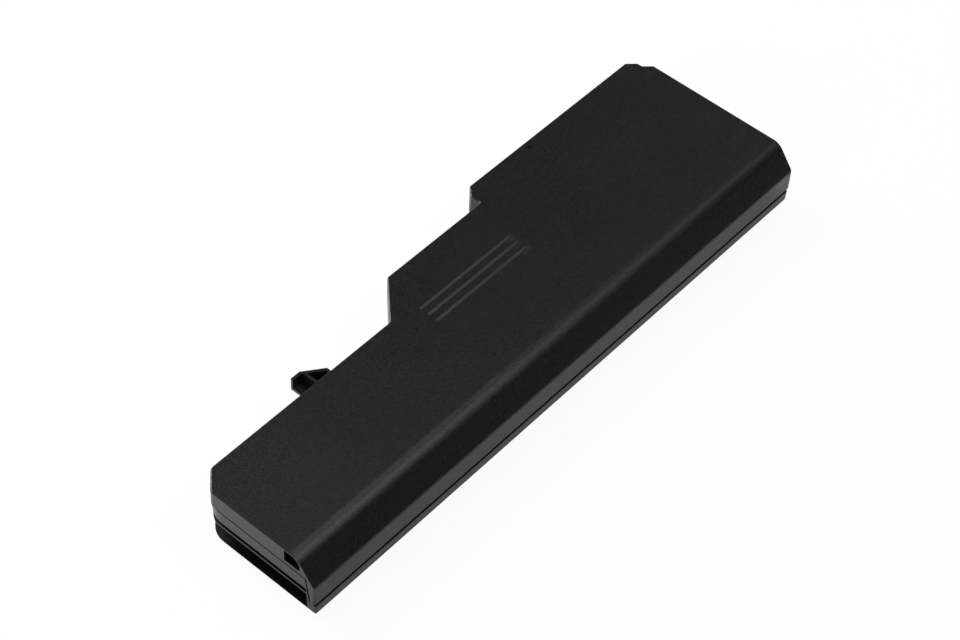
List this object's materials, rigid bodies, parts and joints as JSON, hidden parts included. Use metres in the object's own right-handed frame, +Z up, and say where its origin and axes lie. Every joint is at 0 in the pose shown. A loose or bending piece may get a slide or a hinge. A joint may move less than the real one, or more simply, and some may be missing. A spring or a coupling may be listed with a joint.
{
  "type": "laptop battery",
  "caption": "Black removable laptop battery pack with a stepped back edge, a rounded front edge, end guide slots, a catch hook and a blade connector.",
  "frame": {"origin": "on the flat underside, under the middle of the whole pack", "axes": "+X along the length from the slotted narrow end to the wide end, +Y from the rounded front edge to the stepped back edge with the connector, +Z up through the textured cover"},
  "size_m": [0.205, 0.0608, 0.0202],
  "materials": {
    "spark_textured_plastic": "black, fine moulded spark texture",
    "case_plastic": "black, fine moulded texture",
    "cell_sleeve": "shrunk sleeve, satin gloss",
    "ring_paper": "pressed insulating paper",
    "nickel": "rolled nickel strip",
    "pad_foam": "closed-cell foam",
    "black_insulation": "soft insulation",
    "red_insulation": "soft insulation",
    "white_insulation": "soft insulation",
    "board_laminate": "solder mask over glass laminate",
    "connector_plastic": "moulded, glass filled",
    "contact_metal": "gold plated",
    "chip_resin": "moulded resin",
    "resistor_metal": "bare metal strip",
    "fuse_ceramic": "fired ceramic",
    "capacitor_ceramic": "fired ceramic",
    "resistor_ceramic": "fired ceramic, dark glaze",
    "bead_resin": "dipped resin"
  },
  "bodies": {
    "root": {"outer_cover": "spark_textured_plastic", "inner_case": "case_plastic", "cell_1": "cell_sleeve", "cell_2": "cell_sleeve", "cell_3": "cell_sleeve", "cell_4": "cell_sleeve", "cell_5": "cell_sleeve", "cell_6": "cell_sleeve", "insulator_rings": "ring_paper", "negative_strip": "nickel", "link_strip_1": "nickel", "link_strip_2": "nickel", "positive_strip": "nickel", "near_pad": "pad_foam", "far_pad": "pad_foam", "negative_lead": "black_insulation", "positive_lead": "red_insulation", "sense_lead_1": "white_insulation", "sense_lead_2": "white_insulation", "protection_board": "board_laminate", "connector_housing": "connector_plastic", "connector_contacts": "contact_metal", "gauge_chip": "chip_resin", "protector_chip": "chip_resin", "charge_transistor": "chip_resin", "discharge_transistor": "chip_resin", "sense_resistor": "resistor_metal", "chemical_fuse": "fuse_ceramic", "chip_capacitors": "capacitor_ceramic", "chip_resistors": "resistor_ceramic", "thermistor": "bead_resin"}
  },
  "joints": []
}
